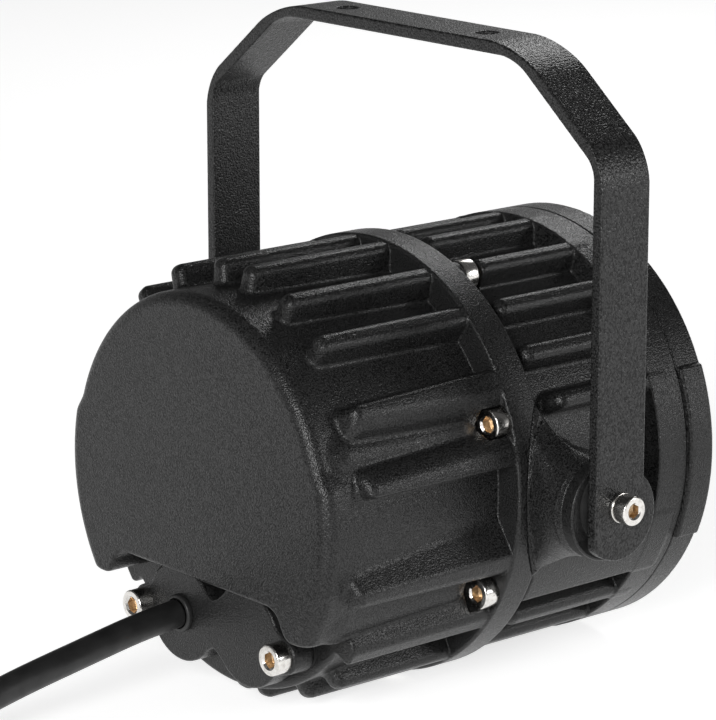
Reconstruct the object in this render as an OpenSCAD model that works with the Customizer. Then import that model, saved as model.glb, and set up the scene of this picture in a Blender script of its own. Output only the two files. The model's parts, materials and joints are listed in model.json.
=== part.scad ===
// Compact outdoor par can light lying on its round body, with its mounting yoke upright.
// The lamp axis runs along Y, the lens faces -Y, the yoke turns about X, and the floor is z = 0.
// The origin is on the floor under the middle of the lamp; stations along the axis count from the pivot.

/* [Head] */
// Radius of the ring that joins the two housings, which the lamp lies on
joint_ring_r = 70.5; // [69.5:0.5:71.5]
// Radius of the front ring and the bezel
front_ring_r = 69; // [67:0.5:69.5]
// Radius to the crests of the cooling fins
fin_crest_r = 70; // [69:0.5:70.5]
// Radius of the castings between the fins
body_r = 61; // [60:0.5:61.5]
// Distance from the yoke pivot back to the rear face
rear_face_y = 89.5; // [88:0.5:94]
// Thickness of the casting walls
wall = 4; // [3.5:0.5:4.5]

/* [Front] */
// Distance from the yoke pivot forward to the face of the bezel
bezel_face_y = 65; // [64:0.5:67]
// Radius of the clear opening in the bezel
bezel_opening_r = 54; // [52:0.5:55]
// Thickness of the front glass
glass_t = 4; // [3:0.5:4.5]
// How far the grip arcs of the bezel stand out
grip_rise = 1.5; // [0.5:0.5:1.5]

/* [Yoke] */
// Clear width between the legs of the yoke
yoke_inside_w = 181; // [180.5:0.5:190]
// Width of the flat bar
yoke_bar_w = 20; // [18:1:22]
// Thickness of the flat bar
yoke_bar_t = 4; // [3:0.5:5]
// Height of the top of the yoke above its pivot
yoke_rise = 136.5; // [132:0.5:145]
// Distance between the two mounting holes
mount_spacing = 66; // [50:1:76]
// Diameter of the mounting holes
mount_hole_d = 7; // [6:0.5:9]

/* [Fasteners] */
// Thread diameter of the outside screws
screw_d = 5; // [4:0.5:5]
// Head diameter of the outside screws
screw_head_d = 8.5; // [7:0.5:8.5]
// Head height of the outside screws
screw_head_h = 5; // [4:0.5:5]

/* [Cable] */
// Diameter of the rubber power cable
cable_d = 9; // [8.5:0.5:9]

/* [Hidden] */
$fn = 96;

eps = 0.01;
fit = 0.05;                       // radial clearance of a screw in its hole
axis_z = joint_ring_r;            // height of the lamp axis and the yoke pivot
pivot_y = (bezel_face_y - rear_face_y) / 2;
sides = [-1, 1];

// Stations along the lamp axis, front negative and rear positive
seam_y = 7.5;                     // where the two housings meet
joint_ring_t = 11.5;
joint_ring_y = seam_y + joint_ring_t;
front_ring_t = 12.5;
front_seam_y = -54.5;             // where the bezel meets the front ring
front_ring_y = front_seam_y + front_ring_t;
bezel_y = -bezel_face_y;
bezel_lip_t = 3.2;
glass_y = bezel_y + bezel_lip_t;
gasket_y = glass_y + glass_t;
web_y = -10;                      // front face of the wall that carries the LED plate
web_t = 6;

// Cooling fins as [angle above the side, width, rear end], the same on both sides
top_fin_w = 6;
rear_fins = [
    [84, top_fin_w, 74], [66.5, top_fin_w, 74], [50.5, top_fin_w, 74], [30, 8, 76], [13.5, 6.5, 74],
    [-18.5, 8, 74], [-37.5, 7.5, 73], [-58, top_fin_w, 65], [-70, top_fin_w, 63], [-86, top_fin_w, 66]
];
front_fins = [
    [84, top_fin_w, 3], [67, top_fin_w, -1.5], [51.5, top_fin_w, 3], [37, top_fin_w, 3], [25, 5, -1],
    [-44, 7, 3], [-58, top_fin_w, 3], [-70, top_fin_w, 3], [-86, top_fin_w, 3]
];
front_crest_r = front_ring_r - 0.4;
lip_y = seam_y - 1;               // rear end of the raised lip beside the pivots
lug_y = seam_y - 0.5;             // rear end of the screw lugs and the side bands
side_band_angle = -28;
side_band_w = 15;
fin_rake = 4.5;                   // how much longer a fin is at its foot

// Raised pad round each pivot, whose rear edge bows into the joint ring
pad_rear_y = 15.5;
pad_front_y = 2;
pad_bow_r = 51.5;
pad_half_h = 27.6;
pad_r = 70.2;
pad_gap = 0.35;                   // between the pad and the notch for it in the joint ring

// Rear end: a D-shaped face with a raised band on each side, above the recess for the gland cover
side_band_r = 65;
side_band_h = 38;
rear_edge_r = 4;
recess_y = 73.5;
recess_top = -27.5;
recess_corner_r = 9.5;
recess_half_w = 31;
cavity_r = body_r - wall;

// Screws round the joint ring: from behind in the grooves, and two from in front near the top
screw_circle_r = 65;
rear_screw_angles = [20.5, -29.5, -78];
front_screw_angle = 67;
screw_reach = 14;
rear_thread_l = 6;                // how far the screws from behind go past the seam
head_room_r = screw_head_d / 2 + 0.3;
head_room_l = 1.5;
lug_r = 4.8;
lug_t = 3;
lug_l = 11;
seat_depth = 0.5;                 // spot face under a screw head
rear_seat_y = joint_ring_y - seat_depth;
front_seat_y = seam_y - lug_t + seat_depth;

// Gland cover: two round lobes side by side, with a screw lobe at each end
cover_t = 8;
cover_gasket_t = 1;
cover_y = recess_y + cover_gasket_t;
cover_face_y = cover_y + cover_t;
lobe_r = 16;
lobe_x = 16.4;
lobe_z = -43.5;
cover_screw_x = 34.5;
cover_screw_z = -45;
cover_screw_lobe_r = 5.8;
grommet_x = 15.4;
grommet_flange_r = 6;
grommet_flange_t = 2;
grommet_r = 5.2;
grommet_l = 12;                   // how far it reaches into the housing
mains_r = 3;

// Pivot, from the casting outwards
yoke_inner_x = yoke_inside_w / 2;
yoke_outer_x = yoke_inner_x + yoke_bar_t;
friction_washer_t = 0.8;
play = 0.05;                      // gap on each face of the yoke's legs
spacer_t = 4.7;
spacer_r = 16;
spacer_drop = 2;                  // the spacers and bosses sit this much below the pivot
spacer_set_forward = 0.5;
boss_r = 16;
friction_washer_r = 12.1;
boss_x = yoke_inner_x - play - friction_washer_t - spacer_t;
pivot_washer_t = 1.2;
pivot_washer_r = 5;
pivot_head_x = yoke_outer_x + play + pivot_washer_t;
pivot_hole_l = 14;
pivot_thread_l = 12;              // how far a pivot screw reaches into its boss
yoke_end_r = 14.3;
yoke_end_drop = 2.6;
yoke_bend_r = 10;                 // to the middle of the bar
yoke_bend_z = 106.5;
yoke_top_half_w = 57;
yoke_low = [yoke_inner_x + yoke_bar_t / 2, yoke_bend_z];
yoke_high = [yoke_top_half_w - 1, yoke_rise - yoke_bar_t / 2];
yoke_leg_below = 20;
bend_steps = 8;

// Bezel
grip_angle = 48;
bezel_screw_circle_r = 61.5;
bezel_screw_r = 1.5;
bezel_screw_head_r = 2.75;
bezel_screw_head_h = 1.6;
bezel_screw_count = 6;

// Optics and electronics
led_plate_r = 42;
led_plate_t = 4;
led_plate_hole_circle_r = 36;
led_module_w = 28;
led_module_t = 2;
led_dome_r = 11;
small_screw_r = 1.5;
small_head_r = 2.75;
small_head_h = 2;
reflector_t = 1.2;
reflector_mouth_r = 50;
reflector_throat_r = 13;
reflector_back_y = -17;
bracket_w = 76;
bracket_t = 2;
bracket_z = -16;
bracket_flange_h = 24;
bracket_y = web_y + web_t;
driver_size = [64, 42, 26];
driver_y = 12;
terminal_size = [28, 16, 13];
terminal_y = 34;
wire_r = 1.4;
led_lead_x = 24;

// Power cable: where it leaves the grommet, how it comes down to the floor, and its storage coil
cable_r = cable_d / 2;
grommet_z = axis_z + lobe_z;
cable_start_y = pivot_y + cover_face_y + grommet_flange_t;
coil_centre = [58, 238];
coil_mid_r = 54;
coil_outer_turn_r = coil_mid_r + cable_r;
cable_route = [
    [grommet_x, cable_start_y, grommet_z], [15.4, 80, 26.3], [15.4, 90, 25.1], [15.4, 101, 23.3],
    [15.4, 112, 21.4], [15.4, 123, 19.5], [15.4, 133, 17.6], [15.5, 142, 15.4], [16.7, 151.3, 12.3],
    [20.5, 160.5, 8.9], [26.5, 168.4, 6.3], [34.4, 174.4, 4.8], [43.6, 178.2, cable_r],
    [coil_centre.x, coil_centre.y - coil_outer_turn_r, cable_r]
];
plug_x = 22;
plug_y = coil_centre.y + coil_outer_turn_r;
plug_r = 18.5;
tail_route = [
    [coil_centre.x, plug_y, 3 * cable_r], [50, plug_y, 13.8], [41, plug_y, 15.4], [31, plug_y, 17.6],
    [plug_x, plug_y, plug_r]
];
cable_sides = 12;
tie_w = 12;
tie_t = 1.5;
plug_neck_r = 8;
plug_neck_l = 18;
plug_shoulder_l = 12;
plug_head_l = 22;
plug_pin_r = 2.4;
plug_pin_l = 19;
plug_pin_gap = 19;

// Places children with their Z along the lamp axis, from the pivot, and -Y upwards
module along_axis() translate([0, pivot_y, axis_z]) rotate([-90, 0, 0]) children();

// Turns children to an angle above the side of the lamp, on both sides
module both_sides(angle) {
    rotate(180 + angle) children();
    rotate(-angle) children();
}

// A disc or drum between two stations
module drum(r, from, to) translate([0, 0, from]) rotate(-45) cylinder(r = r, h = to - from);

// A flat ring between two stations
module ring(outer, inner, from, to) {
    difference() {
        drum(outer, from, to);
        drum(inner, from - 1, to + 1);
    }
}

// A drum whose far edge is rounded
module pillow_drum(r, from, to, edge) {
    translate([0, 0, from]) rotate_extrude() intersection() {
        union() {
            square([r, to - from - edge]);
            square([r - edge, to - from]);
            translate([r - edge, to - from - edge]) circle(edge);
        }
        square([r, to - from]);
    }
}

// A fin with a round crest, straight at its near end and raked at its far end
module fin(width, crest, from, to, rake) {
    intersection() {
        translate([0, 0, from]) linear_extrude(to - from + rake) union() {
            translate([body_r - 2, -width / 2]) square([crest - body_r + 2 - width / 2, width]);
            translate([crest - width / 2, 0]) circle(width / 2);
        }
        rotate([90, 0, 0]) linear_extrude(width + 2, center = true) polygon([
            [body_r - 3, from], [crest + 1, from], [crest + 1, to], [body_r - 3, to + rake]
        ]);
    }
}

// A socket-head cap screw that points along +Z, with the underside of its head at z = 0
module cap_screw(thread_r, head_r, head_h, length) {
    translate([0, 0, -eps]) cylinder(r = thread_r, h = length + eps);
    difference() {
        translate([0, 0, -head_h]) cylinder(r = head_r, h = head_h);
        translate([0, 0, -head_h - 1]) cylinder(r = thread_r * 0.92, h = head_h * 0.6 + 1, $fn = 6);
    }
}

// The recess under the rear face, as an outline in the plane of that face
module recess_outline() {
    translate([-recess_half_w, -100]) square([2 * recess_half_w, 100 + recess_top]);
    translate([-100, -100]) square([200, 100 + recess_top - recess_corner_r]);
    for (s = sides) translate([s * recess_half_w, recess_top - recess_corner_r]) circle(recess_corner_r);
}

// The outline of the gland cover
module cover_outline(grow) {
    for (s = sides) {
        translate([s * lobe_x, lobe_z]) circle(lobe_r + grow);
        translate([s * cover_screw_x, cover_screw_z]) circle(cover_screw_lobe_r + grow);
        translate([s * (lobe_x + cover_screw_x) / 2, (lobe_z + cover_screw_z) / 2])
            square([cover_screw_x - lobe_x, 2 * (cover_screw_lobe_r + grow)], center = true);
    }
    translate([0, lobe_z]) square([2 * lobe_x, 16], center = true);
}

// Extrudes an outline drawn with X sideways and Y upwards, between two stations
module upright_extrude(from, to) translate([0, 0, from]) linear_extrude(to - from) mirror([0, 1]) children();

// The pads round both pivots, grown by the gap for the notches
module pivot_pads(grow) {
    intersection() {
        ring(pad_r + 10 * grow, body_r - 1 - grow, pad_front_y - grow, pad_rear_y + 2);
        translate([0, 0, pad_rear_y - pad_bow_r]) rotate([0, 90, 0])
            cylinder(r = pad_bow_r + grow, h = 4 * pad_r, center = true);
        cube([4 * pad_r, 2 * (pad_half_h + grow), 100], center = true);
    }
}

module rear_housing() {
    color("#1b1c1e") along_axis() difference() {
        union() {
            pillow_drum(body_r, seam_y, rear_face_y, rear_edge_r);
            intersection() {
                pillow_drum(side_band_r, seam_y, rear_face_y, rear_edge_r);
                translate([0, 0, rear_face_y / 2]) cube([200, side_band_h, 200], center = true);
            }
            drum(joint_ring_r, seam_y, joint_ring_y);
            for (f = rear_fins) both_sides(f[0]) fin(f[1], fin_crest_r, seam_y + 2, f[2], fin_rake);
        }
        upright_extrude(recess_y, rear_face_y + 1) recess_outline();
        pivot_pads(pad_gap);
        drum(cavity_r, seam_y - 1, recess_y - wall);
        intersection() {
            drum(cavity_r, seam_y - 1, rear_face_y - wall);
            translate([0, -100 - recess_top - wall, 0]) cube([200, 200, 400], center = true);
        }
        for (a = rear_screw_angles) both_sides(a) translate([screw_circle_r, 0]) {
            drum(screw_d / 2 + fit, seam_y - 1, joint_ring_y + 1);
            drum(head_room_r, rear_seat_y, rear_seat_y + screw_head_h + head_room_l);
        }
        both_sides(front_screw_angle) translate([screw_circle_r, 0])
            drum(screw_d / 2 + fit, seam_y - 1, seam_y + screw_reach);
        translate([grommet_x, -lobe_z]) drum(grommet_r + fit, recess_y - wall - 1, recess_y + 1);
        for (s = sides) translate([s * cover_screw_x, -cover_screw_z])
            drum(screw_d / 2 + fit, recess_y - wall - 1, recess_y + 1);
    }
}

module front_housing() {
    color("#1b1c1e") along_axis() difference() {
        union() {
            drum(body_r, front_seam_y, seam_y);
            drum(front_ring_r, front_seam_y, front_ring_y);
            for (f = front_fins) both_sides(f[0]) mirror([0, 0, 1])
                fin(f[1], front_crest_r, -f[2], -front_ring_y + 2, 2);
            pivot_pads(0);
            both_sides(side_band_angle) intersection() {
                ring(fin_crest_r - 0.5, body_r - 1, front_ring_y - 1, lug_y);
                translate([fin_crest_r, 0, 0]) cube([30, side_band_w, 120], center = true);
            }
            intersection() {
                translate([0, spacer_drop, -spacer_set_forward]) rotate([0, 90, 0])
                    cylinder(r = boss_r, h = 2 * boss_x, center = true);
                translate([-100, -100, lip_y - 0.5 - 100]) cube([200, 200, 100]);
            }
            both_sides(front_screw_angle) translate([screw_circle_r, 0]) drum(lug_r, seam_y - lug_t, lug_y);
            both_sides(rear_screw_angles[0]) translate([screw_circle_r, 0]) drum(lug_r, seam_y - lug_l, lug_y);
            both_sides(rear_screw_angles[2]) translate([screw_circle_r, 0]) drum(lug_r, seam_y - lug_l, lug_y);
        }
        drum(cavity_r, bezel_y, web_y);
        drum(cavity_r, web_y + web_t, seam_y + 1);
        for (a = rear_screw_angles) both_sides(a) translate([screw_circle_r, 0])
            drum(screw_d / 2 + fit, seam_y - rear_thread_l - 1.5, pad_rear_y + 1);
        both_sides(front_screw_angle) translate([screw_circle_r, 0]) {
            drum(screw_d / 2 + fit, seam_y - lug_t - 1, seam_y + 1);
            drum(head_room_r, front_seat_y - screw_head_h - head_room_l, front_seat_y);
        }
        for (s = sides) rotate([0, 90, s > 0 ? 0 : 180])
            translate([0, 0, boss_x - pivot_hole_l]) cylinder(r = screw_d / 2 + fit, h = pivot_hole_l + 1);
        for (i = [0:bezel_screw_count - 1]) rotate(30 + i * 360 / bezel_screw_count)
            translate([bezel_screw_circle_r, 0]) drum(bezel_screw_r + fit, front_seam_y - 1, front_seam_y + 8);
        for (i = [0:3]) rotate(45 + 90 * i) translate([led_plate_hole_circle_r, 0])
            drum(small_screw_r + fit, web_y - 1, web_y + 5);
        for (s = sides) translate([s * bracket_w / 3, -bracket_z - bracket_flange_h / 2])
            drum(small_screw_r + fit, web_y + 2, web_y + web_t + 1);
        translate([led_lead_x, 0]) drum(wire_r + 0.6, web_y - 1, web_y + web_t + 1);
    }
}

module housing_gasket() {
    color("#0c0c0d") along_axis() ring(cavity_r - 0.3, cavity_r - 2.3, seam_y - 3, seam_y + 3);
}

module flange_screws() {
    color("silver") along_axis() {
        for (a = rear_screw_angles) both_sides(a) translate([screw_circle_r, 0, rear_seat_y]) mirror([0, 0, 1])
            cap_screw(screw_d / 2, screw_head_d / 2, screw_head_h, joint_ring_t + rear_thread_l);
        both_sides(front_screw_angle) translate([screw_circle_r, 0, front_seat_y])
            cap_screw(screw_d / 2, screw_head_d / 2, screw_head_h, screw_reach);
    }
}

module bezel() {
    color("#1b1c1e") along_axis() difference() {
        union() {
            drum(front_ring_r, bezel_y, front_seam_y);
            intersection() {
                drum(front_ring_r + grip_rise, bezel_y, front_seam_y - 2);
                cube([300, 2 * front_ring_r * sin(grip_angle / 2), 300], center = true);
            }
        }
        drum(bezel_opening_r, bezel_y - 1, front_seam_y + 1);
        drum(bezel_opening_r + 3.2, glass_y, front_seam_y + 1);
        for (i = [0:bezel_screw_count - 1]) rotate(30 + i * 360 / bezel_screw_count)
            translate([bezel_screw_circle_r, 0]) {
                drum(bezel_screw_r + fit, bezel_y - 1, front_seam_y + 1);
                drum(bezel_screw_head_r + 0.3, bezel_y - 1, bezel_y + bezel_screw_head_h + 0.4);
            }
    }
}

module bezel_screws() {
    color("silver") along_axis() for (i = [0:bezel_screw_count - 1]) rotate(30 + i * 360 / bezel_screw_count)
        translate([bezel_screw_circle_r, 0, bezel_y + bezel_screw_head_h + 0.4])
            cap_screw(bezel_screw_r, bezel_screw_head_r, bezel_screw_head_h, 15);
}

module front_glass() {
    color("lightcyan") along_axis() drum(bezel_opening_r + 3, glass_y, gasket_y);
}

module glass_gasket() {
    color("#0c0c0d") along_axis() ring(bezel_opening_r + 3, bezel_opening_r - 1, gasket_y, front_seam_y);
}

module reflector() {
    depth = reflector_back_y - front_seam_y;
    color("gainsboro") along_axis() translate([0, 0, reflector_back_y]) mirror([0, 0, 1]) rotate_extrude()
        polygon(concat(
            [for (i = [0:12]) [bowl_r(i / 12), depth * i / 12]],
            [[cavity_r - 0.3, depth], [cavity_r - 0.3, depth - reflector_t]],
            [for (i = [11.5:-1:0.5]) [bowl_r(i / 12) + reflector_t, depth * i / 12]],
            [[reflector_throat_r + reflector_t, 0]]
        ));
}

// Radius of the reflector bowl, a parabola between its throat and its mouth
function bowl_r(t) = sqrt(pow(reflector_throat_r, 2) + (pow(reflector_mouth_r, 2) - pow(reflector_throat_r, 2)) * t);

module led_module() {
    color("gold") along_axis() {
        translate([-led_module_w / 2, -led_module_w / 2, web_y - led_plate_t - led_module_t])
            cube([led_module_w, led_module_w, led_module_t]);
        drum(led_dome_r, web_y - led_plate_t - led_module_t - 0.8, web_y - led_plate_t - led_module_t);
    }
}

module led_plate() {
    color("silver") along_axis() difference() {
        drum(led_plate_r, web_y - led_plate_t, web_y);
        for (i = [0:3]) rotate(45 + 90 * i) translate([led_plate_hole_circle_r, 0])
            drum(small_screw_r + fit, web_y - led_plate_t - 1, web_y + 1);
        translate([led_lead_x, 0]) drum(wire_r + 0.6, web_y - led_plate_t - 1, web_y + 1);
    }
}

module led_plate_screws() {
    color("silver") along_axis() for (i = [0:3]) rotate(45 + 90 * i)
        translate([led_plate_hole_circle_r, 0, web_y - led_plate_t])
            cap_screw(small_screw_r, small_head_r, small_head_h, led_plate_t + 4);
}

module driver_bracket() {
    color("silver") along_axis() difference() {
        union() {
            translate([-bracket_w / 2, -bracket_z, bracket_y]) cube([bracket_w, bracket_t, 56]);
            translate([-bracket_w / 2, -bracket_z - bracket_flange_h, bracket_y])
                cube([bracket_w, bracket_flange_h + bracket_t, bracket_t]);
        }
        for (s = sides) translate([s * bracket_w / 3, -bracket_z - bracket_flange_h / 2])
            drum(small_screw_r + fit, bracket_y - 1, bracket_y + bracket_t + 1);
        translate([led_lead_x, 0]) drum(wire_r + 2, bracket_y - 1, bracket_y + bracket_t + 1);
    }
}

module driver_bracket_screws() {
    color("silver") along_axis() for (s = sides)
        translate([s * bracket_w / 3, -bracket_z - bracket_flange_h / 2, bracket_y + bracket_t]) mirror([0, 0, 1])
            cap_screw(small_screw_r, small_head_r, small_head_h, bracket_t + 3.5);
}

module led_driver() {
    color("white") along_axis()
        translate([-driver_size.x / 2, -bracket_z - driver_size.z, driver_y])
            cube([driver_size.x, driver_size.z, driver_size.y]);
}

module terminal_block() {
    color("ivory") along_axis()
        translate([-terminal_size.x / 2, -bracket_z + bracket_t, terminal_y])
            cube([terminal_size.x, terminal_size.z, terminal_size.y]);
}

// A round tube swept along a list of points
function sub(route, i) = route[max(0, min(len(route) - 1, i))];
function heading(route, i) = let (d = sub(route, i + 1) - sub(route, i - 1)) d / norm(d);
function tube_ring(route, i, r, n) =
    let (
        t = heading(route, i),
        side = cross(t, abs(t.z) > 0.9 ? [1, 0, 0] : [0, 0, 1]),
        u = side / norm(side),
        v = cross(u, t)
    )
    [for (k = [0:n - 1]) route[i] + r * (cos(360 * k / n) * u + sin(360 * k / n) * v)];
module tube(route, r, n) {
    last = len(route) - 1;
    polyhedron(
        points = [for (i = [0:last]) each tube_ring(route, i, r, n)],
        faces = concat(
            [[for (k = [0:n - 1]) k]],
            [[for (k = [n - 1:-1:0]) last * n + k]],
            [for (i = [0:last - 1], k = [0:n - 1])
                [i * n + k, (i + 1) * n + k, (i + 1) * n + (k + 1) % n, i * n + (k + 1) % n]]
        )
    );
}

// A smooth curve through the points of a route, with two steps for each of its stretches
function spline_point(a, b, c, d, t) =
    0.5 * (2 * b + (c - a) * t + (2 * a - 5 * b + 4 * c - d) * t * t + (3 * b - a - 3 * c + d) * t * t * t);
function smooth(route) = [
    for (i = [0:len(route) - 2], t = [0, 0.5])
        spline_point(sub(route, i - 1), route[i], route[i + 1], sub(route, i + 2), t),
    route[len(route) - 1]
];

module led_leads() {
    color("firebrick") along_axis() tube([
        [led_lead_x, 0, web_y - led_plate_t - 0.5], [led_lead_x, 0, bracket_y + 2], [led_lead_x, 0, driver_y]
    ], wire_r, 8);
}

module mains_leads() {
    color("saddlebrown") along_axis() tube(smooth([
        [grommet_x, -lobe_z, recess_y - 4.3], [grommet_x, -lobe_z, 65], [grommet_x, -lobe_z, 60.5],
        [13.5, 40, 57], [9, 30, 54], [6, 25, 52], [4, 24.5, terminal_y + terminal_size.y]
    ]), mains_r, 8);
}

module gland_cover() {
    color("#1b1c1e") along_axis() difference() {
        upright_extrude(cover_y, cover_face_y) cover_outline(0);
        translate([grommet_x, -lobe_z]) drum(grommet_r + fit, cover_y - 1, cover_face_y + 1);
        for (s = sides) translate([s * cover_screw_x, -cover_screw_z])
            drum(screw_d / 2 + fit, cover_y - 1, cover_face_y + 1);
    }
}

module gland_cover_gasket() {
    color("#0c0c0d") along_axis() difference() {
        upright_extrude(recess_y, cover_y) cover_outline(-0.4);
        translate([grommet_x, -lobe_z]) drum(grommet_r + fit, recess_y - 1, cover_y + 1);
        for (s = sides) translate([s * cover_screw_x, -cover_screw_z])
            drum(screw_d / 2 + fit, recess_y - 1, cover_y + 1);
    }
}

module gland_cover_screws() {
    color("silver") along_axis() for (s = sides)
        translate([s * cover_screw_x, -cover_screw_z, cover_face_y]) mirror([0, 0, 1])
            cap_screw(screw_d / 2, screw_head_d / 2, screw_head_h, cover_t + 4);
}

module cable_grommet() {
    color("#0c0c0d") along_axis() translate([grommet_x, -lobe_z]) difference() {
        union() {
            drum(grommet_r, recess_y - grommet_l, cover_face_y + eps);
            drum(grommet_flange_r, cover_face_y, cover_face_y + grommet_flange_t);
        }
        drum(mains_r + 0.4, recess_y - grommet_l - 1, cover_face_y - 4);
    }
}

// Places children on both pivots with their Z outwards
module at_pivots() translate([0, pivot_y, axis_z]) for (s = sides) rotate([0, 90 * s, 0]) children();

module pivot_spacers() {
    color("#1b1c1e") for (s = sides) translate([s * (boss_x + spacer_t / 2), pivot_y, axis_z])
        rotate([0, 90, 0]) difference() {
            translate([spacer_drop, -spacer_set_forward]) cylinder(r = spacer_r, h = spacer_t, center = true);
            cylinder(r = screw_d / 2 + fit, h = spacer_t + 2, center = true);
        }
}

module friction_washers() {
    color("#0c0c0d") at_pivots() translate([0, 0, boss_x + spacer_t]) difference() {
        cylinder(r = friction_washer_r, h = friction_washer_t);
        translate([0, 0, -1]) cylinder(r = screw_d / 2 + fit, h = 4);
    }
}

// An arc as a list of points
function arc(centre, r, from, to) =
    [for (i = [0:bend_steps]) let (a = from + (to - from) * i / bend_steps) centre + r * [cos(a), sin(a)]];

// One edge of the right half of the bar's side view, up the leg and over both bends to the middle
function yoke_edge(r) =
    let (
        slope = atan2(yoke_low.x - yoke_high.x, yoke_high.y - yoke_low.y),
        low_centre = yoke_low - yoke_bend_r * [1, tan(slope / 2)],
        high_centre = yoke_high - yoke_bend_r * [tan((90 - slope) / 2), 1]
    )
    concat([[low_centre.x + r, -yoke_leg_below]], arc(low_centre, r, 0, slope), arc(high_centre, r, slope, 90));

function mirrored(points) = [for (i = [len(points) - 1:-1:0]) [-points[i].x, points[i].y]];
function reversed(points) = [for (i = [len(points) - 1:-1:0]) points[i]];

module yoke() {
    outer = yoke_edge(yoke_bend_r + yoke_bar_t / 2);
    inner = yoke_edge(yoke_bend_r - yoke_bar_t / 2);
    color("#202124") translate([0, pivot_y, axis_z]) difference() {
        intersection() {
            rotate([90, 0, 0]) linear_extrude(4 * yoke_end_r, center = true)
                polygon(concat(outer, mirrored(outer), reversed(concat(inner, mirrored(inner)))));
            rotate([0, 90, 0]) linear_extrude(400, center = true) union() {
                translate([-200, -yoke_bar_w / 2]) square([200 + yoke_end_drop, yoke_bar_w]);
                intersection() {
                    translate([yoke_end_drop, -0.5]) circle(yoke_end_r);
                    translate([-50, yoke_bar_w / 2 - 100]) square(100);
                }
            }
        }
        rotate([0, 90, 0]) cylinder(r = screw_d / 2 + fit, h = 400, center = true);
        for (s = sides) translate([s * mount_spacing / 2, 0, yoke_rise - 20]) cylinder(d = mount_hole_d, h = 40);
    }
}

module pivot_washers() {
    color("silver") at_pivots() translate([0, 0, yoke_outer_x + play]) difference() {
        cylinder(r = pivot_washer_r, h = pivot_washer_t);
        translate([0, 0, -1]) cylinder(r = screw_d / 2 + fit, h = 4);
    }
}

module pivot_screws() {
    color("silver") at_pivots() translate([0, 0, pivot_head_x]) mirror([0, 0, 1])
        cap_screw(screw_d / 2, screw_head_d / 2, screw_head_h, pivot_head_x - boss_x + pivot_thread_l);
}

module power_cable() {
    color("#0c0c0d") tube(smooth(cable_route), cable_r, cable_sides);
}

module cable_tail() {
    color("#0c0c0d") tube(smooth(tail_route), cable_r, cable_sides);
}

// The stored turns as one ring, two turns wide and two high
module cable_coil() {
    color("#0c0c0d") translate([coil_centre.x, coil_centre.y, 0]) rotate_extrude()
        translate([coil_mid_r - cable_d, 0]) square([2 * cable_d, 2 * cable_d]);
}

module coil_tie() {
    color("dimgray") translate([coil_centre.x - coil_mid_r, coil_centre.y, 0]) difference() {
        translate([-cable_d - tie_t, -tie_w / 2, 0]) cube([2 * (cable_d + tie_t), tie_w, 2 * cable_d + tie_t]);
        translate([-cable_d - 0.5, -tie_w, -1]) cube([2 * cable_d + 1, 2 * tie_w, 2 * cable_d + 1.1]);
    }
}

module power_plug() {
    color("#141415") translate([plug_x, plug_y, plug_r]) rotate([0, -90, 0]) {
        cylinder(r1 = plug_neck_r - 1.5, r2 = plug_neck_r, h = plug_neck_l);
        translate([0, 0, plug_neck_l]) cylinder(r1 = plug_neck_r + 4, r2 = plug_r - 1, h = plug_shoulder_l);
        translate([0, 0, plug_neck_l + plug_shoulder_l]) cylinder(r = plug_r, h = plug_head_l);
    }
}

module plug_pins() {
    color("lightgray") translate([plug_x, plug_y, plug_r]) rotate([0, -90, 0])
        for (s = sides) translate([0, s * plug_pin_gap / 2, plug_neck_l + plug_shoulder_l + plug_head_l])
            cylinder(r = plug_pin_r, h = plug_pin_l);
}

rear_housing();
front_housing();
housing_gasket();
flange_screws();
bezel();
bezel_screws();
front_glass();
glass_gasket();
reflector();
led_module();
led_plate();
led_plate_screws();
driver_bracket();
driver_bracket_screws();
led_driver();
terminal_block();
led_leads();
mains_leads();
gland_cover();
gland_cover_gasket();
gland_cover_screws();
cable_grommet();
pivot_spacers();
friction_washers();
yoke();
pivot_washers();
pivot_screws();
power_cable();
cable_coil();
cable_tail();
coil_tie();
power_plug();
plug_pins();
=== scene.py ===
"""The looks of a compact outdoor par can light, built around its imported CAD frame.

The castings, the bezel, the yoke and the gland cover are distance fields: each returns how far a
point lies outside a solid, so fillets and rounded edges have true radii. The rest is lathed or
swept. Shapes are written in millimetres from the yoke pivot, as x across the lamp, y along its
axis towards the rear, and z up, and moved into the frame when their meshes are made.
"""

import json
import math

import bpy
import numpy as np
import openvdb
from mathutils import Matrix, Vector

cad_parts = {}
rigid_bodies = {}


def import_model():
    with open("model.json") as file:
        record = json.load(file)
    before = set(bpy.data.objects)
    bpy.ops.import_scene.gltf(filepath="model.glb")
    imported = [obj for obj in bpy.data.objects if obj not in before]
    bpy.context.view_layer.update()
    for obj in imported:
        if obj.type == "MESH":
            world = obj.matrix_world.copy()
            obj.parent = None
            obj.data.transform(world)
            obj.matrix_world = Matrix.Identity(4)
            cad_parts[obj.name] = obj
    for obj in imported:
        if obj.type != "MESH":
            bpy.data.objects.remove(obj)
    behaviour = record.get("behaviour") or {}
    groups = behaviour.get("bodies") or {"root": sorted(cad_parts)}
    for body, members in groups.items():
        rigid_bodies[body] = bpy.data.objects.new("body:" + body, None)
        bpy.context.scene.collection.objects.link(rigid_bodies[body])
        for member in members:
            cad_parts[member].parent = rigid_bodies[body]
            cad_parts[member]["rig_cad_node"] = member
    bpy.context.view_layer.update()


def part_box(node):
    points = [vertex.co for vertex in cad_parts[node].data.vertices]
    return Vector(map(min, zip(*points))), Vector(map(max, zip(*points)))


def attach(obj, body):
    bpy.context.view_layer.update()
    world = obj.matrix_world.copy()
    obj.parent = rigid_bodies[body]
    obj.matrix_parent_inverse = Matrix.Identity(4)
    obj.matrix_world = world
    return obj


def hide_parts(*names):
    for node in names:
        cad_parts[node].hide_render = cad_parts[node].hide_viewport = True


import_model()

MM = 0.001


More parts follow.
